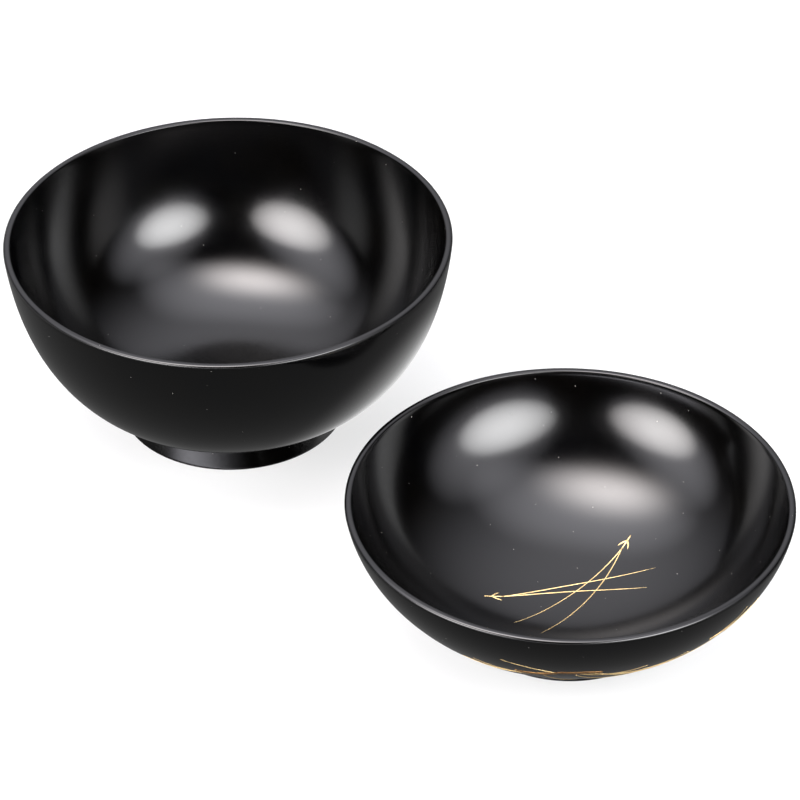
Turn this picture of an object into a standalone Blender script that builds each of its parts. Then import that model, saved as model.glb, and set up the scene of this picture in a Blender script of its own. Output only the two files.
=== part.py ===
"""Lidded rice bowl: a turned bowl on a foot ring, and a turned lid that also serves as a dish.

The lid lies upside down beside the bowl, on its own ring. Both stand on z = 0. +X runs from the
bowl's centre to the lid's centre, +Z is up, and the origin is the centre of the footprint's box.
Run it with blender --background --python part.py, or from Blender's text editor.
"""
import math

import bpy

MM = 0.001

# The bowl, in metres.
BOWL_RADIUS = 65.0 * MM
BOWL_HEIGHT = 60.0 * MM
BOWL_LIP = 2.1 * MM
BOWL_FLOOR = 8.9 * MM
BOWL_RING_RADIUS = 33.1 * MM
BOWL_RING_WIDTH = 3.2 * MM
BOWL_RECESS = 5.2 * MM

# The lid, as it lies: its mouth is up and its ring is down.
LID_RADIUS = 61.4 * MM
LID_HEIGHT = 40.3 * MM
LID_LIP = 2.0 * MM
LID_FLOOR = 6.5 * MM
LID_RING_RADIUS = 29.3 * MM
LID_RING_WIDTH = 2.8 * MM
LID_RECESS = 3.6 * MM

# Each side of a wall follows a superellipse whose centre stands above the mouth. The numbers are
# the centre's height above the mouth, for the outside and for the inside, the outer pole's height
# above z = 0, and the two exponents of each side, along z and across. The lid's inside is the
# straighter one, so its wall thickens downward.
BOWL_CURVE = {
    "outer_rise": 19.6 * MM, "inner_rise": 19.6 * MM, "pole": 4.5 * MM,
    "outer": (2.5, 3.0), "inner": (2.5, 3.0),
}
LID_CURVE = {
    "outer_rise": 5.8 * MM, "inner_rise": 20.0 * MM, "pole": -0.2 * MM,
    "outer": (2.0, 2.0), "inner": (2.3, 2.3),
}

# The lip is crowned: each side of its crown is a quarter of an ellipse, given across and down.
LIP_INNER_ROUND = (0.85 * MM, 0.50 * MM)
LIP_OUTER_ROUND = (1.00 * MM, 0.70 * MM)

# The foot ring spreads toward its foot, from the neck where it leaves the wall.
RING_LEAN = math.tan(math.radians(21.0))
RING_CHAMFER = 0.5 * MM
RECESS_DRAFT = 0.6 * MM
RECESS_FILLET = 1.5 * MM

# The lid lies far enough off to turn over about the line between the two and come down on the
# bowl's mouth, where its edge stops LID_CLEARANCE above the bowl's lip.
CENTRE_DISTANCE = 138.0 * MM
LID_CLEARANCE = 0.6 * MM
SPAN = BOWL_RADIUS + CENTRE_DISTANCE + LID_RADIUS
BOWL_X = BOWL_RADIUS - SPAN / 2
LID_X = BOWL_X + CENTRE_DISTANCE
TURN_X = (BOWL_X + LID_X) / 2
TURN_Z = (BOWL_HEIGHT + LID_CLEARANCE + LID_HEIGHT) / 2

# Mesh density.
TURN_STEPS = 64
INNER_POINTS = 11
OUTER_POINTS = 11
ROUND_POINTS = 4
NECK_ROUNDS = 12
MERGE_DISTANCE = 0.00001


def clear_scene():
    for item in list(bpy.data.objects):
        bpy.data.objects.remove(item, do_unlink=True)


def make_lacquer(name, color, roughness):
    """A Principled material for smooth black lacquer."""
    material = bpy.data.materials.new(name)
    material.use_nodes = True
    shader = material.node_tree.nodes["Principled BSDF"]
    shader.inputs["Base Color"].default_value = (*color, 1.0)
    shader.inputs["Roughness"].default_value = roughness
    shader.inputs["Metallic"].default_value = 0.0
    return material


class Superellipse:
    """A wall's curve: the radius at a height, and the height at a radius."""

    def __init__(self, centre_z, pole_z, exponents, mouth_z, mouth_radius):
        self.centre_z = centre_z
        self.half_height = centre_z - pole_z
        self.along, self.across = exponents
        self.half_width = 1.0
        self.half_width = mouth_radius / self.radius(mouth_z)

    def radius(self, z):
        share = ((self.centre_z - z) / self.half_height) ** self.along
        return self.half_width * max(0.0, 1.0 - share) ** (1.0 / self.across)

    def height(self, radius):
        share = 1.0 - (radius / self.half_width) ** self.across
        return self.centre_z - self.half_height * share ** (1.0 / self.along)

    def points(self, start_radius, end_radius, count):
        """Points between two radii, spaced by the angle round the curve."""
        start = math.asin(start_radius / self.half_width)
        end = math.asin(end_radius / self.half_width)
        radii = []
        for i in range(count):
            angle = start + (end - start) * i / (count - 1)
            radii.append(self.half_width * math.sin(angle))
        return [(radius, self.height(radius)) for radius in radii]


def arc(centre, radii, start_deg, end_deg, count):
    """Points on a round corner of the profile, from one angle to the other. The two radii are
    the ones across and up."""
    points = []
    for i in range(count):
        angle = math.radians(start_deg + (end_deg - start_deg) * i / (count - 1))
        across = radii[0] * math.cos(angle)
        up = radii[1] * math.sin(angle)
        points.append((centre[0] + across, centre[1] + up))
    return points


def neck_of(outer, ring_radius):
    """The radius where the wall meets the ring's leaning outside, found by closing in on it."""
    radius = ring_radius
    for _ in range(NECK_ROUNDS):
        radius = ring_radius - RING_LEAN * outer.height(radius)
    return radius


def turned_profile(radius, height, lip, floor, ring_radius, ring_width, recess, curve):
    """The half section, from the middle of the inside floor, over the lip, down to the foot ring,
    and in to the middle of the recess under the floor."""
    outer = Superellipse(height + curve["outer_rise"], curve["pole"], curve["outer"],
                         height, radius)
    inner = Superellipse(height + curve["inner_rise"], floor, curve["inner"],
                         height, radius - lip)

    inner_top = height - LIP_INNER_ROUND[1]
    outer_top = height - LIP_OUTER_ROUND[1]
    profile = inner.points(0.0, inner.radius(inner_top), INNER_POINTS)
    inner_centre = (inner.radius(inner_top) + LIP_INNER_ROUND[0], inner_top)
    outer_centre = (outer.radius(outer_top) - LIP_OUTER_ROUND[0], outer_top)
    profile += arc(inner_centre, LIP_INNER_ROUND, 180, 90, ROUND_POINTS)[1:]
    profile += arc(outer_centre, LIP_OUTER_ROUND, 90, 0, ROUND_POINTS)
    neck_radius = neck_of(outer, ring_radius)
    profile += outer.points(outer.radius(outer_top), neck_radius, OUTER_POINTS)[1:]
    profile += [
        (ring_radius, RING_CHAMFER),
        (ring_radius - RING_CHAMFER, 0.0),
        (ring_radius - ring_width + RING_CHAMFER, 0.0),
        (ring_radius - ring_width, RING_CHAMFER),
    ]
    recess_radius = ring_radius - ring_width - RECESS_DRAFT
    fillet_centre = (recess_radius - RECESS_FILLET, recess - RECESS_FILLET)
    fillet_radii = (RECESS_FILLET, RECESS_FILLET)
    profile += arc(fillet_centre, fillet_radii, 0, 90, ROUND_POINTS)
    profile.append((0.0, recess))
    return profile


def make_turned(name, profile, centre_x, material, collection):
    """Turn a half section about the vertical axis through centre_x."""
    mesh = bpy.data.meshes.new(name)
    vertices = [(radius, 0.0, z) for radius, z in profile]
    edges = [(i, i + 1) for i in range(len(profile) - 1)]
    mesh.from_pydata(vertices, edges, [])
    mesh.materials.append(material)
    piece = bpy.data.objects.new(name, mesh)
    piece.location = (centre_x, 0.0, 0.0)
    collection.objects.link(piece)
    screw = piece.modifiers.new("Turn", "SCREW")
    screw.axis = "Z"
    screw.angle = 2.0 * math.pi
    screw.steps = TURN_STEPS
    screw.render_steps = TURN_STEPS
    screw.use_merge_vertices = True
    screw.merge_threshold = MERGE_DISTANCE
    screw.use_smooth_shade = True
    return piece


def make_bowl(collection):
    profile = turned_profile(BOWL_RADIUS, BOWL_HEIGHT, BOWL_LIP, BOWL_FLOOR, BOWL_RING_RADIUS,
                             BOWL_RING_WIDTH, BOWL_RECESS, BOWL_CURVE)
    lacquer = make_lacquer("black_lacquer", (0.010, 0.010, 0.011), 0.22)
    return make_turned("bowl", profile, BOWL_X, lacquer, collection)


def make_lid(collection):
    """The lid hangs from an empty on the line it turns over about."""
    profile = turned_profile(LID_RADIUS, LID_HEIGHT, LID_LIP, LID_FLOOR, LID_RING_RADIUS,
                             LID_RING_WIDTH, LID_RECESS, LID_CURVE)
    lacquer = make_lacquer("black_lacquer_lid", (0.011, 0.011, 0.012), 0.22)
    lid = make_turned("lid", profile, LID_X - TURN_X, lacquer, collection)
    pivot = bpy.data.objects.new("lid_turn_axis", None)
    pivot.location = (TURN_X, 0.0, TURN_Z)
    collection.objects.link(pivot)
    lid.location.z = -TURN_Z
    lid.parent = pivot
    return lid


def main():
    clear_scene()
    collection = bpy.data.collections.new("lidded_rice_bowl")
    bpy.context.scene.collection.children.link(collection)
    make_bowl(collection)
    make_lid(collection)


main()
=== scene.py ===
"""The looks of the lidded rice bowl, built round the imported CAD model.

The bowl and the lid are turned again as fine surfaces in semi-gloss black lacquer. The lid
carries pine needles in raised gold line, inside and outside, and a bronze twig outside.
"""
import math

import bmesh
import bpy
from mathutils import Matrix, Vector

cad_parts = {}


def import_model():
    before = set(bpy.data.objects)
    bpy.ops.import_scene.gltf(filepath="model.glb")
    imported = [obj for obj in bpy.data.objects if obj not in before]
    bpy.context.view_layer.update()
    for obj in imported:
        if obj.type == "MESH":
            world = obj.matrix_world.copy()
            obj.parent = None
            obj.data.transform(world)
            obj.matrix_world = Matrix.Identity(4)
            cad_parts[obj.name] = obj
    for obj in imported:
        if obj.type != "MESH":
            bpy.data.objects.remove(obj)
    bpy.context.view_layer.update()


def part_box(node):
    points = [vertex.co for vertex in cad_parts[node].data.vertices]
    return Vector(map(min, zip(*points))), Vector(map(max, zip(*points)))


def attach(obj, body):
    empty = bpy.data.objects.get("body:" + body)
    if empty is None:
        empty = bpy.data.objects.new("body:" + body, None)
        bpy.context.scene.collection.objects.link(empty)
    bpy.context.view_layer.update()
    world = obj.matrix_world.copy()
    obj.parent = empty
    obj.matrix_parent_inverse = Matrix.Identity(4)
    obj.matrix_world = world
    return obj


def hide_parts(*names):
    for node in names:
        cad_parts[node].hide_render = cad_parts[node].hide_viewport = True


MM = 0.001

# Shape of the walls, as the CAD turns them. Heights and places come from the model's pieces.
BOWL_SHAPE = {
    "lip": 2.1 * MM, "floor": 8.9 * MM, "ring_radius": 33.1 * MM, "ring_width": 3.2 * MM,
    "recess": 5.2 * MM, "outer_rise": 19.6 * MM, "inner_rise": 19.6 * MM, "pole": 4.5 * MM,
    "outer": (2.5, 3.0), "inner": (2.5, 3.0), "mouth_radius": 65.0 * MM,
}
LID_SHAPE = {
    "lip": 2.0 * MM, "floor": 6.5 * MM, "ring_radius": 29.3 * MM, "ring_width": 2.8 * MM,
    "recess": 3.6 * MM, "outer_rise": 5.8 * MM, "inner_rise": 20.0 * MM, "pole": -0.2 * MM,
    "outer": (2.0, 2.0), "inner": (2.3, 2.3), "mouth_radius": 61.4 * MM,
}
# The lip's crown: a quarter of an ellipse on each side, across and down.
LIP_INNER_ROUND = (0.85 * MM, 0.50 * MM)
LIP_OUTER_ROUND = (1.00 * MM, 0.70 * MM)

# The foot ring. Its outside is straight, and RING_POINTS are the shares of its height where it
# gets extra points, so that its shading is straight too.
RING_LEAN_DEG = 21.0
RING_POINTS = (0.04, 0.35, 0.65, 0.96)
RING_ROUND = 0.45 * MM
NECK_ROUNDS = 12
NECK_FILLET = 0.7 * MM
RECESS_DRAFT = 0.6 * MM
RECESS_FILLET = 1.5 * MM

# Mesh density.
TURN_STEPS = 240
WALL_POINTS = 72
ROUND_POINTS = 9
MERGE_DISTANCE = 0.01 * MM

# How far to each side a wall's slope is read, and the nearest to the axis that it is read.
SLOPE_REACH = 0.05 * MM
NEAR_AXIS = 0.01 * MM

# The needles' own drawing, in mm on plan: u runs to the right and v towards a person who faces
# the lid, from its middle. A needle is (start, end, bow), and bow is how far its middle swings
# to the left of the way it runs.
DRAWING_TURN = math.radians(45.0)
INSIDE_SHEATHS = [((18.0, -22.0), (15.4, -17.8)), ((-23.0, 3.6), (-17.6, 2.3))]
INSIDE_NEEDLES = [
    ((15.4, -17.8), (-15.0, 14.5), 1.5),
    ((15.4, -17.8), (-7.5, 18.5), 2.2),
    ((-17.6, 2.3), (24.5, -8.5), 1.9),
    ((-17.6, 2.3), (22.0, -1.0), 2.4),
]
OUTSIDE_TWIG = [((-15.0, 51.0), (-4.0, 54.6), 0.6), ((-4.0, 54.6), (8.0, 54.2), -0.5)]
OUTSIDE_NEEDLES = [
    ((-3.0, 54.4), (-19.0, 54.0), 0.7),
    ((-4.0, 54.0), (-26.0, 47.0), -0.8),
    ((-10.0, 52.4), (-29.0, 43.0), -0.8),
    ((2.0, 54.4), (20.0, 50.8), 0.8),
    ((4.0, 54.4), (31.0, 44.8), 1.2),
    ((5.5, 54.2), (39.0, 38.6), 1.7),
    ((6.0, 53.8), (32.0, 38.5), -1.2),
    ((1.0, 53.6), (18.0, 43.0), 0.9),
    ((-8.0, 52.6), (6.0, 42.0), 1.0),
    ((36.5, 42.5), (46.5, 37.0), 0.7),
    ((40.5, 36.0), (50.5, 28.5), -0.6),
]
NEEDLE_WIDTH = 0.33 * MM
NEEDLE_RISE = 0.10 * MM
SHEATH_WIDTH = 0.50 * MM
SCALE_LENGTH = 3.0
SCALE_SPREAD_DEG = 32.0
TWIG_WIDTH = 2.0 * MM
STROKE_SIDES = 10
STROKE_STEP = 0.7
STROKE_MIN_STEPS = 5

# The camera, seen from the object: degrees round from +X and above the floor.
CAMERA_AIM = Vector((-33.9 * MM, 36.5 * MM, 0.0))
CAMERA_DISTANCE = 1.1733
CAMERA_AZIMUTH = -43.73
CAMERA_ELEVATION = 36.18
CAMERA_ROLL = -0.35
CAMERA_LENS = 177.0

# The materials. DUST_HEIGHTS is how many times higher than the peel a grain of dust stands, and
# each paint has its bright and its deep colour.
LACQUER_ROUGHNESS = 0.135
LACQUER_BLACK = (0.0002, 0.0002, 0.0003)
LACQUER_WARM_BLACK = (0.0005, 0.0004, 0.0003)
CLOUD_SIZE = 22.0 * MM
SMUDGE_SIZE = 14.0 * MM
SMUDGE_ROUGHNESS = (-0.012, 0.020)
GRAIN_SIZE = 0.9 * MM
GRAIN_ROUGHNESS = (-0.008, 0.008)
PEEL_SIZE = 3.5 * MM
FINE_PEEL_SIZE = 1.1 * MM
FINE_PEEL_SHARE = 0.25
PEEL_HEIGHT = 0.004 * MM
DUST_COLOR = (0.30, 0.29, 0.27)
DUST_SPACING = 4.0 * MM
DUST_RADIUS = 0.13 * MM
DUST_ROUGHNESS = 0.4
DUST_HEIGHTS = 4.0
WORN_HEIGHTS = (0.2 * MM, 1.0 * MM)
WORN_ROUGHNESS = 0.16
GOLD = ((0.95, 0.72, 0.36), (0.62, 0.40, 0.15))
GOLD_GRAIN = 0.12 * MM
GOLD_ROUGHNESS = 0.38
BRONZE = ((0.46, 0.25, 0.09), (0.16, 0.07, 0.03))
BRONZE_GRAIN = 0.3 * MM
BRONZE_ROUGHNESS = 0.42
PATCH_GRAINS = 18
PAINT_RELIEF = 0.03 * MM

# The studio. Radiances are counted from 1, the white that the camera sees. The sky is brightest
# SKY_TOWARD, in degrees round from the camera and above the floor, and fades to nothing at the
# cosine SKY_EDGE from there. The floor's two distances are from its own two centres.
LIGHT_AIM = Vector((1.8 * MM, 0.0, 30.0 * MM))
NEUTRAL = (1.0, 1.0, 1.0)
KEY_COLOR = (1.0, 0.97, 0.955)
TOP_COLOR = (1.0, 0.94, 0.92)
HAZE_COLOR = (0.94, 0.93, 1.0)
SKY_RADIANCE = 1.9
SKY_TOWARD = (190.0, 60.0)
SKY_EDGE = 0.36
SKY_CURVE = 2.2
WALL_RADIANCE = 1.2
FLOOR_HALF = 6.0
FLOOR_DROP = 0.2 * MM
FLOOR_PAPER = (0.8, 0.8, 0.8)
FLOOR_SHADOW_SHARE = 0.3
# The floor's painted light, a glow that only the lacquer sees: FLOOR_SHADE paints shade near the
# dishes that brightens far off, and FLOOR_POOL paints a pool of light between them.
FLOOR_SHADE_CENTRE = (-0.065, 0.221, 0.0)
FLOOR_SHADE_REACH = (0.34, 0.84)
FLOOR_SHADE_LEVELS = (0.18, 2.7)
FLOOR_POOL_CENTRE = (-0.036, 0.039, 0.0)
FLOOR_POOL_REACH = (0.057, 0.010)
FLOOR_POOL_LEVEL = 1.0


class Superellipse:
    """A wall's curve: the radius at a height, and the height at a radius."""

    def __init__(self, centre_z, pole_z, exponents, mouth_z, mouth_radius):
        self.centre_z = centre_z
        self.half_height = centre_z - pole_z
        self.along, self.across = exponents
        self.half_width = 1.0
        self.half_width = mouth_radius / self.radius(mouth_z)

    def radius(self, z):
        share = ((self.centre_z - z) / self.half_height) ** self.along
        return self.half_width * max(0.0, 1.0 - share) ** (1.0 / self.across)

    def height(self, radius):
        share = 1.0 - (radius / self.half_width) ** self.across
        return self.centre_z - self.half_height * share ** (1.0 / self.along)

    def slope(self, radius):
        rise = self.height(radius + SLOPE_REACH) - self.height(abs(radius - SLOPE_REACH))
        return rise / (2 * SLOPE_REACH)

    def points(self, start_radius, end_radius, count):
        start = math.asin(start_radius / self.half_width)
        end = math.asin(end_radius / self.half_width)
        radii = []
        for i in range(count):
            angle = start + (end - start) * i / (count - 1)
            radii.append(self.half_width * math.sin(angle))
        return [(radius, self.height(radius)) for radius in radii]


class Turned:
    """One turned piece: its axis, its two wall curves and its half section."""

    def __init__(self, node, shape):
        low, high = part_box(node)
        self.centre = Vector(((low[0] + high[0]) / 2, (low[1] + high[1]) / 2, 0.0))
        self.height = high[2]
        self.shape = shape
        mouth = shape["mouth_radius"]
        self.outer = Superellipse(self.height + shape["outer_rise"], shape["pole"], shape["outer"],
                                  self.height, mouth)
        self.inner = Superellipse(self.height + shape["inner_rise"], shape["floor"],
                                  shape["inner"], self.height, mouth - shape["lip"])

    def neck_radius(self):
        """Where the wall meets the ring's leaning outside, found by closing in on it."""
        lean = math.tan(math.radians(RING_LEAN_DEG))
        radius = self.shape["ring_radius"]
        for _ in range(NECK_ROUNDS):
            radius = self.shape["ring_radius"] - lean * self.outer.height(radius)
        return radius

    def neck_fillet(self, neck_radius):
        """A hollow round between the wall and the ring, as a curve through three points."""
        neck = Vector((neck_radius, self.outer.height(neck_radius)))
        on_wall = Vector((neck_radius + NECK_FILLET, self.outer.height(neck_radius + NECK_FILLET)))
        foot = Vector((self.shape["ring_radius"], RING_ROUND))
        on_ring = neck + NECK_FILLET * (foot - neck).normalized()
        points = []
        for i in range(ROUND_POINTS):
            t = i / (ROUND_POINTS - 1)
            point = (1 - t) ** 2 * on_wall + 2 * t * (1 - t) * neck + t ** 2 * on_ring
            points.append(tuple(point))
        return points

    def half_section(self):
        """From the middle of the inside floor, over the lip and down to the foot ring, then in
        to the middle of the recess."""
        shape = self.shape
        inner_top = self.height - LIP_INNER_ROUND[1]
        outer_top = self.height - LIP_OUTER_ROUND[1]
        section = self.inner.points(0.0, self.inner.radius(inner_top), WALL_POINTS)
        inner_corner = (self.inner.radius(inner_top) + LIP_INNER_ROUND[0], inner_top)
        outer_corner = (self.outer.radius(outer_top) - LIP_OUTER_ROUND[0], outer_top)
        section += arc(inner_corner, LIP_INNER_ROUND, 180, 90)[1:]
        section += arc(outer_corner, LIP_OUTER_ROUND, 90, 0)
        neck_radius = self.neck_radius()
        section += self.outer.points(self.outer.radius(outer_top), neck_radius + NECK_FILLET,
                                     WALL_POINTS)[1:]
        section += self.neck_fillet(neck_radius)[1:]
        ring_round = (RING_ROUND, RING_ROUND)
        outer_foot = (shape["ring_radius"] - RING_ROUND, RING_ROUND)
        inner_foot = (shape["ring_radius"] - shape["ring_width"] + RING_ROUND, RING_ROUND)
        foot = arc(outer_foot, ring_round, RING_LEAN_DEG, -90)
        ring_top = Vector(section[-1])
        for share in RING_POINTS:
            section.append(tuple(ring_top.lerp(Vector(foot[0]), share)))
        section += foot
        section += arc(inner_foot, ring_round, 270, 180)
        recess_radius = shape["ring_radius"] - shape["ring_width"] - RECESS_DRAFT
        fillet = (recess_radius - RECESS_FILLET, shape["recess"] - RECESS_FILLET)
        section += arc(fillet, (RECESS_FILLET, RECESS_FILLET), 0, 90)
        section.append((0.0, shape["recess"]))
        return section


def arc(centre, radii, start_deg, end_deg, count=ROUND_POINTS):
    points = []
    for i in range(count):
        angle = math.radians(start_deg + (end_deg - start_deg) * i / (count - 1))
        across = radii[0] * math.cos(angle)
        up = radii[1] * math.sin(angle)
        points.append((centre[0] + across, centre[1] + up))
    return points


def turn(name, piece, material):
    """A fine closed surface of revolution."""
    section = piece.half_section()
    mesh = bpy.data.meshes.new(name)
    vertices = [(radius, 0.0, z) for radius, z in section]
    mesh.from_pydata(vertices, [(i, i + 1) for i in range(len(section) - 1)], [])
    turned = bpy.data.objects.new(name, mesh)
    turned.location = piece.centre
    bpy.context.scene.collection.objects.link(turned)
    screw = turned.modifiers.new("Turn", "SCREW")
    screw.axis = "Z"
    screw.steps = TURN_STEPS
    screw.render_steps = TURN_STEPS
    screw.use_merge_vertices = True
    screw.merge_threshold = MERGE_DISTANCE
    screw.use_smooth_shade = True
    mesh.materials.append(material)
    return turned


class Drawing:
    """Raised strokes that lie on one wall of a turned piece, half sunk in it."""

    def __init__(self, name, piece, wall, side, rise):
        self.name = name
        self.piece = piece
        self.wall = wall
        self.side = side
        self.rise = rise
        self.mesh = bmesh.new()

    def on_wall(self, u, v):
        """The wall's point under a point of the drawing, and the way out of the wall there."""
        x = (u * math.cos(DRAWING_TURN) + v * math.sin(DRAWING_TURN)) * MM
        y = (u * math.sin(DRAWING_TURN) - v * math.cos(DRAWING_TURN)) * MM
        radius = max(math.hypot(x, y), NEAR_AXIS)
        slope = self.wall.slope(radius)
        out = Vector((-slope * x / radius, -slope * y / radius, 1.0)).normalized() * self.side
        return Vector((x, y, self.wall.height(radius))), out

    def stroke(self, start, end, bow, width, taper):
        """A lens-shaped line from start to end. taper gives its width at a share of its length,
        as a share of width."""
        start = Vector(start)
        end = Vector(end)
        run = end - start
        left = Vector((run.y, -run.x)).normalized()
        middle = (start + end) / 2 + 2 * bow * left
        count = max(STROKE_MIN_STEPS, round(run.length / STROKE_STEP))
        path = []
        for i in range(count + 1):
            t = i / count
            plan = (1 - t) ** 2 * start + 2 * t * (1 - t) * middle + t ** 2 * end
            path.append((t, *self.on_wall(plan.x, plan.y)))
        rings = []
        for i, (t, place, out) in enumerate(path):
            along = (path[min(i + 1, count)][1] - path[max(i - 1, 0)][1]).normalized()
            across = out.cross(along).normalized()
            share = taper(t)
            ring = []
            for k in range(STROKE_SIDES):
                angle = 2 * math.pi * k / STROKE_SIDES
                sideways = across * (math.cos(angle) * share * width / 2)
                upwards = out * (math.sin(angle) * share ** 0.5 * self.rise)
                ring.append(self.mesh.verts.new(place + sideways + upwards))
            rings.append(ring)
        for first, second in zip(rings, rings[1:]):
            for k in range(STROKE_SIDES):
                n = (k + 1) % STROKE_SIDES
                self.mesh.faces.new((first[k], first[n], second[n], second[k]))
        self.mesh.faces.new(rings[0])
        self.mesh.faces.new(rings[-1])

    def finish(self, material):
        bmesh.ops.recalc_face_normals(self.mesh, faces=self.mesh.faces)
        mesh = bpy.data.meshes.new(self.name)
        self.mesh.to_mesh(mesh)
        self.mesh.free()
        mesh.shade_smooth()
        mesh.materials.append(material)
        drawn = bpy.data.objects.new(self.name, mesh)
        drawn.location = self.piece.centre
        bpy.context.scene.collection.objects.link(drawn)
        return drawn


def needle_taper(t):
    """Full width where the needle leaves its sheath, and a fine point at its far end."""
    return max(0.12, 1.0 - 0.7 * t ** 3) * min(1.0, 12.0 * (1.02 - t))


def sheath_taper(t):
    return 0.25 + 0.75 * math.sin(math.pi * (0.15 + 0.7 * t))


def twig_taper(t):
    return 0.35 + 0.65 * math.sin(math.pi * (0.2 + 0.6 * t))


def sheath(drawing, tip, hub):
    """The short sheath that holds a pair of needles, with a bud scale on each side."""
    drawing.stroke(tip, hub, 0.0, SHEATH_WIDTH, sheath_taper)
    back = (Vector(tip) - Vector(hub)).normalized()
    for side in (-1, 1):
        turned = Matrix.Rotation(math.radians(180 - SCALE_SPREAD_DEG) * side, 2) @ back
        start = Vector(hub) + 0.6 * (Vector(tip) - Vector(hub))
        drawing.stroke(start, start + SCALE_LENGTH * turned, 0.25 * side, SHEATH_WIDTH,
                       needle_taper)


def inside_drawing(lid, material):
    drawing = Drawing("gold_needles_inside", lid, lid.inner, 1, NEEDLE_RISE)
    for tip, hub in INSIDE_SHEATHS:
        sheath(drawing, tip, hub)
    for start, end, bow in INSIDE_NEEDLES:
        drawing.stroke(start, end, bow, NEEDLE_WIDTH, needle_taper)
    return drawing.finish(material)


def outside_drawing(lid, material):
    drawing = Drawing("gold_needles_outside", lid, lid.outer, -1, NEEDLE_RISE)
    for start, end, bow in OUTSIDE_NEEDLES:
        drawing.stroke(start, end, bow, NEEDLE_WIDTH, needle_taper)
    return drawing.finish(material)


def outside_twig(lid, material):
    drawing = Drawing("bronze_twig_outside", lid, lid.outer, -1, 1.6 * NEEDLE_RISE)
    for start, end, bow in OUTSIDE_TWIG:
        drawing.stroke(start, end, bow, TWIG_WIDTH, twig_taper)
    return drawing.finish(material)


class Shader:
    """A material's node tree, with short calls for the nodes that the materials share."""

    def __init__(self, name, roughness, metallic=0.0):
        self.material = bpy.data.materials.new(name)
        self.material.use_nodes = True
        self.nodes = self.material.node_tree.nodes
        self.links = self.material.node_tree.links
        self.surface = self.nodes["Principled BSDF"]
        self.surface.inputs["Roughness"].default_value = roughness
        self.surface.inputs["Metallic"].default_value = metallic
        self.place = self.nodes.new("ShaderNodeTexCoord").outputs["Object"]

    def noise(self, size, detail=3.0, shift=(0.0, 0.0, 0.0), stretch=(1.0, 1.0, 1.0)):
        """Noise with features about size metres across."""
        mapping = self.nodes.new("ShaderNodeMapping")
        mapping.inputs["Location"].default_value = shift
        mapping.inputs["Scale"].default_value = stretch
        texture = self.nodes.new("ShaderNodeTexNoise")
        texture.inputs["Scale"].default_value = 1.0 / size
        texture.inputs["Detail"].default_value = detail
        self.links.new(self.place, mapping.inputs["Vector"])
        self.links.new(mapping.outputs["Vector"], texture.inputs["Vector"])
        return texture.outputs["Fac"]

    def ramp(self, value, low, high, to_low, to_high):
        node = self.nodes.new("ShaderNodeMapRange")
        node.interpolation_type = "SMOOTHSTEP"
        node.inputs["From Min"].default_value = low
        node.inputs["From Max"].default_value = high
        node.inputs["To Min"].default_value = to_low
        node.inputs["To Max"].default_value = to_high
        self.links.new(value, node.inputs["Value"])
        return node.outputs["Result"]

    def math(self, operation, first, second):
        node = self.nodes.new("ShaderNodeMath")
        node.operation = operation
        for socket, value in zip(node.inputs, (first, second)):
            if isinstance(value, (int, float)):
                socket.default_value = value
            else:
                self.links.new(value, socket)
        return node.outputs["Value"]

    def mix(self, share, first, second):
        """A mix of two colours, each a tuple or a socket."""
        node = self.nodes.new("ShaderNodeMix")
        node.data_type = "RGBA"
        self.links.new(share, node.inputs["Factor"])
        for socket, value in ((node.inputs["A"], first), (node.inputs["B"], second)):
            if isinstance(value, tuple):
                socket.default_value = (*value, 1.0)
            else:
                self.links.new(value, socket)
        return node.outputs["Result"]

    def bump(self, height, distance):
        node = self.nodes.new("ShaderNodeBump")
        node.inputs["Strength"].default_value = 1.0
        node.inputs["Distance"].default_value = distance
        self.links.new(height, node.inputs["Height"])
        self.links.new(node.outputs["Normal"], self.surface.inputs["Normal"])


def specks(shader, shift):
    """Grains of dust: where a scattered point lies on the surface, within its own small radius."""
    mapping = shader.nodes.new("ShaderNodeMapping")
    mapping.inputs["Location"].default_value = shift
    points = shader.nodes.new("ShaderNodeTexVoronoi")
    points.inputs["Scale"].default_value = 1.0 / DUST_SPACING
    shader.links.new(shader.place, mapping.inputs["Vector"])
    shader.links.new(mapping.outputs["Vector"], points.inputs["Vector"])
    radius = DUST_RADIUS / DUST_SPACING
    return shader.ramp(points.outputs["Distance"], radius, 0.6 * radius, 0.0, 1.0)


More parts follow.
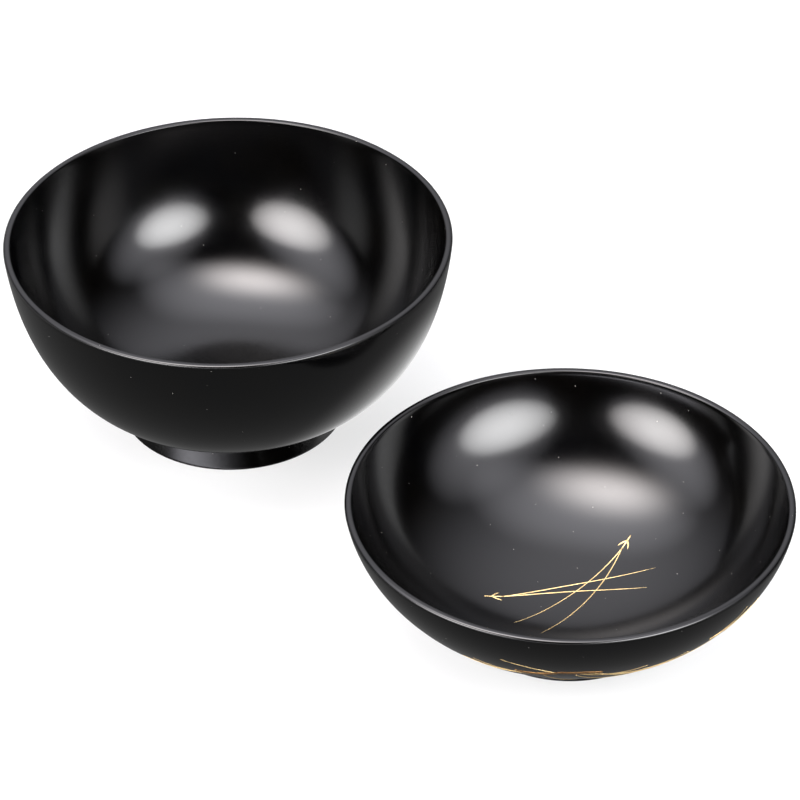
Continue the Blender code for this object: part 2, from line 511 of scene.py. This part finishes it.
def lacquer(name, shift):
    """Sprayed black lacquer: nearly no colour of its own, a soft gloss that varies a little, the
    faintest orange peel, a duller worn foot, and a few grains of dust."""
    shader = Shader(name, LACQUER_ROUGHNESS)
    cloud = shader.ramp(shader.noise(CLOUD_SIZE, 2.0, shift), 0.35, 0.7, 0.0, 1.0)
    dust = specks(shader, shift)
    black = shader.mix(cloud, LACQUER_BLACK, LACQUER_WARM_BLACK)
    color = shader.mix(dust, black, DUST_COLOR)
    shader.links.new(color, shader.surface.inputs["Base Color"])

    smudge = shader.ramp(shader.noise(SMUDGE_SIZE, 4.0, shift), 0.3, 0.75, *SMUDGE_ROUGHNESS)
    grain = shader.ramp(shader.noise(GRAIN_SIZE, 2.0, shift), 0.3, 0.7, *GRAIN_ROUGHNESS)
    height = shader.nodes.new("ShaderNodeSeparateXYZ")
    shader.links.new(shader.place, height.inputs["Vector"])
    worn = shader.ramp(height.outputs["Z"], *WORN_HEIGHTS, WORN_ROUGHNESS, 0.0)
    roughness = shader.math("ADD", smudge, grain)
    roughness = shader.math("ADD", roughness, worn)
    roughness = shader.math("ADD", roughness, shader.math("MULTIPLY", dust, DUST_ROUGHNESS))
    roughness = shader.math("ADD", roughness, LACQUER_ROUGHNESS)
    shader.links.new(roughness, shader.surface.inputs["Roughness"])

    fine_peel = shader.math("MULTIPLY", shader.noise(FINE_PEEL_SIZE, 1.0, shift), FINE_PEEL_SHARE)
    peel = shader.math("ADD", shader.noise(PEEL_SIZE, 1.5, shift), fine_peel)
    grains = shader.math("MULTIPLY", dust, DUST_HEIGHTS)
    shader.bump(shader.math("ADD", peel, grains), PEEL_HEIGHT)
    return shader.material


def metal_paint(name, colors, grain_size, roughness):
    """Metal powder in lacquer: grains that differ in tone and gloss, and thin or worn patches."""
    shader = Shader(name, roughness, metallic=0.9)
    grain = shader.ramp(shader.noise(grain_size, 2.0), 0.35, 0.65, 0.0, 1.0)
    patch = shader.ramp(shader.noise(PATCH_GRAINS * grain_size, 3.0), 0.35, 0.7, 0.0, 0.6)
    share = shader.math("MAXIMUM", shader.math("MULTIPLY", grain, 0.5), patch)
    shader.links.new(shader.mix(share, *colors), shader.surface.inputs["Base Color"])
    gloss = shader.ramp(grain, 0.0, 1.0, roughness - 0.08, roughness + 0.12)
    shader.links.new(gloss, shader.surface.inputs["Roughness"])
    shader.bump(shader.noise(grain_size, 2.0), PAINT_RELIEF)
    return shader.material


def gold():
    return metal_paint("gold_powder", GOLD, GOLD_GRAIN, GOLD_ROUGHNESS)


def bronze():
    return metal_paint("bronze_powder", BRONZE, BRONZE_GRAIN, BRONZE_ROUGHNESS)


def studio_floor():
    """A plain pale floor. The camera sees it white with soft contact shadows. What the lacquer
    mirrors of it is painted light: the floor glows for every other ray, with a painted pool of
    light between the two dishes, painted shade round them, and brighter glow far off, standing
    in for a sweep lit from the back."""
    mesh = bpy.data.meshes.new("studio_floor")
    corners = [(-FLOOR_HALF, -FLOOR_HALF, 0), (FLOOR_HALF, -FLOOR_HALF, 0),
               (FLOOR_HALF, FLOOR_HALF, 0), (-FLOOR_HALF, FLOOR_HALF, 0)]
    mesh.from_pydata(corners, [], [(0, 1, 2, 3)])
    floor = bpy.data.objects.new("studio_floor", mesh)
    floor.location.z = -FLOOR_DROP
    bpy.context.scene.collection.objects.link(floor)

    material = bpy.data.materials.new("studio_paper")
    material.use_nodes = True
    nodes = material.node_tree.nodes
    links = material.node_tree.links
    nodes.clear()
    output = nodes.new("ShaderNodeOutputMaterial")
    path = nodes.new("ShaderNodeLightPath")
    paper = nodes.new("ShaderNodeBsdfDiffuse")
    paper.inputs["Color"].default_value = (*FLOOR_PAPER, 1)
    glow = nodes.new("ShaderNodeEmission")
    pale = nodes.new("ShaderNodeMixShader")
    pale.inputs["Fac"].default_value = FLOOR_SHADOW_SHARE
    # Painted light: what the lacquer sees of the floor is this glow, with its painted shade and
    # its painted pool of light.
    painted_floor_glow = nodes.new("ShaderNodeEmission")
    coords = nodes.new("ShaderNodeTexCoord")
    level = nodes.new("ShaderNodeMath")
    level.operation = "ADD"
    parts = ((FLOOR_SHADE_CENTRE, FLOOR_SHADE_REACH, FLOOR_SHADE_LEVELS),
             (FLOOR_POOL_CENTRE, FLOOR_POOL_REACH, (0.0, FLOOR_POOL_LEVEL)))
    for socket, (centre, reach, levels) in zip(level.inputs, parts):
        away = nodes.new("ShaderNodeVectorMath")
        away.operation = "DISTANCE"
        away.inputs[1].default_value = centre
        ramp = nodes.new("ShaderNodeMapRange")
        ramp.interpolation_type = "SMOOTHSTEP"
        for name, value in zip(("From Min", "From Max", "To Min", "To Max"), (*reach, *levels)):
            ramp.inputs[name].default_value = value
        links.new(coords.outputs["Object"], away.inputs[0])
        links.new(away.outputs["Value"], ramp.inputs["Value"])
        links.new(ramp.outputs["Result"], socket)
    choice = nodes.new("ShaderNodeMixShader")
    links.new(level.outputs["Value"], painted_floor_glow.inputs["Strength"])
    links.new(glow.outputs["Emission"], pale.inputs[1])
    links.new(paper.outputs["BSDF"], pale.inputs[2])
    links.new(path.outputs["Is Camera Ray"], choice.inputs["Fac"])
    links.new(painted_floor_glow.outputs["Emission"], choice.inputs[1])
    links.new(pale.outputs["Shader"], choice.inputs[2])
    links.new(choice.outputs["Shader"], output.inputs["Surface"])
    mesh.materials.append(material)


def direction(azimuth, elevation):
    a = math.radians(azimuth)
    e = math.radians(elevation)
    return Vector((math.cos(e) * math.cos(a), math.cos(e) * math.sin(a), math.sin(e)))


def softbox(name, azimuth, elevation, distance, size, radiance, edge, color, turned=0.0):
    """A soft light aimed at the object, an oval that is brightest in its middle. azimuth is
    counted from the camera's, size is across and up, and a larger edge fades sooner."""
    data = bpy.data.lights.new(name, "AREA")
    data.shape = "RECTANGLE"
    data.size, data.size_y = size
    data.energy = math.pi * size[0] * size[1]
    data.color = color
    data.use_nodes = True
    nodes = data.node_tree.nodes
    links = data.node_tree.links
    place = nodes.new("ShaderNodeNewGeometry")
    centred = nodes.new("ShaderNodeVectorMath")
    centred.operation = "MULTIPLY_ADD"
    centred.inputs[1].default_value = (2.0, 2.0, 0.0)
    centred.inputs[2].default_value = (-1.0, -1.0, 0.0)
    square = nodes.new("ShaderNodeVectorMath")
    square.operation = "DOT_PRODUCT"
    inside = nodes.new("ShaderNodeMath")
    inside.operation = "SUBTRACT"
    inside.use_clamp = True
    inside.inputs[0].default_value = 1.0
    fade = nodes.new("ShaderNodeMath")
    fade.operation = "POWER"
    fade.inputs[1].default_value = edge
    strength = nodes.new("ShaderNodeMath")
    strength.operation = "MULTIPLY"
    strength.inputs[1].default_value = radiance
    links.new(place.outputs["Parametric"], centred.inputs[0])
    links.new(centred.outputs["Vector"], square.inputs[0])
    links.new(centred.outputs["Vector"], square.inputs[1])
    links.new(square.outputs["Value"], inside.inputs[1])
    links.new(inside.outputs["Value"], fade.inputs[0])
    links.new(fade.outputs["Value"], strength.inputs[0])
    links.new(strength.outputs["Value"], nodes["Emission"].inputs["Strength"])
    light = bpy.data.objects.new(name, data)
    toward = direction(CAMERA_AZIMUTH + azimuth, elevation)
    facing = (-toward).to_track_quat("-Z", "Y").to_matrix()
    light.location = LIGHT_AIM + distance * toward
    light.rotation_euler = (facing @ Matrix.Rotation(math.radians(turned), 3, "Z")).to_euler()
    light.visible_camera = False
    bpy.context.scene.collection.objects.link(light)


def studio_lights():
    """A soft light on each side of the camera, near the object, and one over it. Each has a
    wide dim spill round it, and the left one also glows low over the floor."""
    softbox("key_left", -47, 31.5, 0.56, (0.54, 0.32), 15.5, 0.9, KEY_COLOR)
    softbox("key_right", 39.5, 33, 0.57, (0.52, 0.33), 15.5, 0.8, NEUTRAL)
    softbox("top", -69, 77.5, 1.0, (1.0, 1.72), 15.5, 5.0, TOP_COLOR, -45)
    softbox("spill_left", -62, 38, 0.57, (1.05, 0.48), 3.4, 1.3, HAZE_COLOR, -15)
    softbox("spill_right", 52, 37, 0.57, (1.00, 0.60), 2.8, 1.4, HAZE_COLOR, 18)
    softbox("spill_top", -170, 85, 1.0, (2.3, 1.06), 3.0, 1.5, HAZE_COLOR, -33)
    softbox("low_left", -33, 1.5, 0.56, (1.36, 0.09), 7.6, 2.5, HAZE_COLOR)


def studio_world():
    """The camera sees a pale wall. The lacquer mirrors a dark studio with one dim bright part,
    high up behind the object."""
    world = bpy.data.worlds.new("studio")
    bpy.context.scene.world = world
    world.use_nodes = True
    nodes = world.node_tree.nodes
    links = world.node_tree.links
    nodes.clear()
    output = nodes.new("ShaderNodeOutputWorld")
    mix = nodes.new("ShaderNodeMixShader")
    path = nodes.new("ShaderNodeLightPath")
    pale = nodes.new("ShaderNodeBackground")
    pale.inputs["Strength"].default_value = WALL_RADIANCE
    studio = nodes.new("ShaderNodeBackground")
    studio.inputs["Color"].default_value = (*HAZE_COLOR, 1)
    coords = nodes.new("ShaderNodeTexCoord")
    toward = nodes.new("ShaderNodeVectorMath")
    toward.operation = "DOT_PRODUCT"
    toward.inputs[1].default_value = direction(CAMERA_AZIMUTH + SKY_TOWARD[0], SKY_TOWARD[1])
    ramp = nodes.new("ShaderNodeMapRange")
    ramp.inputs["From Min"].default_value = SKY_EDGE
    ramp.inputs["From Max"].default_value = 1.0
    ramp.inputs["To Max"].default_value = 1.0
    curve = nodes.new("ShaderNodeMath")
    curve.operation = "POWER"
    curve.inputs[1].default_value = SKY_CURVE
    strength = nodes.new("ShaderNodeMath")
    strength.operation = "MULTIPLY"
    strength.inputs[1].default_value = SKY_RADIANCE
    links.new(coords.outputs["Generated"], toward.inputs[0])
    links.new(toward.outputs["Value"], ramp.inputs["Value"])
    links.new(ramp.outputs["Result"], curve.inputs[0])
    links.new(curve.outputs["Value"], strength.inputs[0])
    links.new(strength.outputs["Value"], studio.inputs["Strength"])
    links.new(path.outputs["Is Camera Ray"], mix.inputs["Fac"])
    links.new(studio.outputs["Background"], mix.inputs[1])
    links.new(pale.outputs["Background"], mix.inputs[2])
    links.new(mix.outputs["Shader"], output.inputs["Surface"])


def camera():
    data = bpy.data.cameras.new("camera")
    data.lens = CAMERA_LENS
    data.sensor_width = 36.0
    data.clip_start = 0.05
    data.clip_end = 30.0
    eye = bpy.data.objects.new("camera", data)
    toward = direction(CAMERA_AZIMUTH, CAMERA_ELEVATION)
    place = Matrix.Translation(CAMERA_AIM + CAMERA_DISTANCE * toward)
    turn_to = (-toward).to_track_quat("-Z", "Y").to_matrix().to_4x4()
    roll = Matrix.Rotation(math.radians(CAMERA_ROLL), 4, "Z")
    eye.matrix_world = place @ turn_to @ roll
    bpy.context.scene.collection.objects.link(eye)
    bpy.context.scene.camera = eye


def main():
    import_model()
    camera()
    studio_floor()
    studio_lights()
    studio_world()
    bpy.context.scene.view_settings.view_transform = "Standard"

    bowl = Turned("bowl", BOWL_SHAPE)
    lid = Turned("lid", LID_SHAPE)
    bowl_surface = turn("bowl_surface", bowl, lacquer("bowl_lacquer", (0.0, 0.0, 0.0)))
    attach(bowl_surface, "bowl")
    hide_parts("bowl")
    lid_surface = turn("lid_surface", lid, lacquer("lid_lacquer", (0.31, 0.17, 0.23)))
    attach(lid_surface, "lid")
    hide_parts("lid")
    gold_paint = gold()
    for drawn in (inside_drawing(lid, gold_paint), outside_drawing(lid, gold_paint),
                  outside_twig(lid, bronze())):
        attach(drawn, "lid")


main()
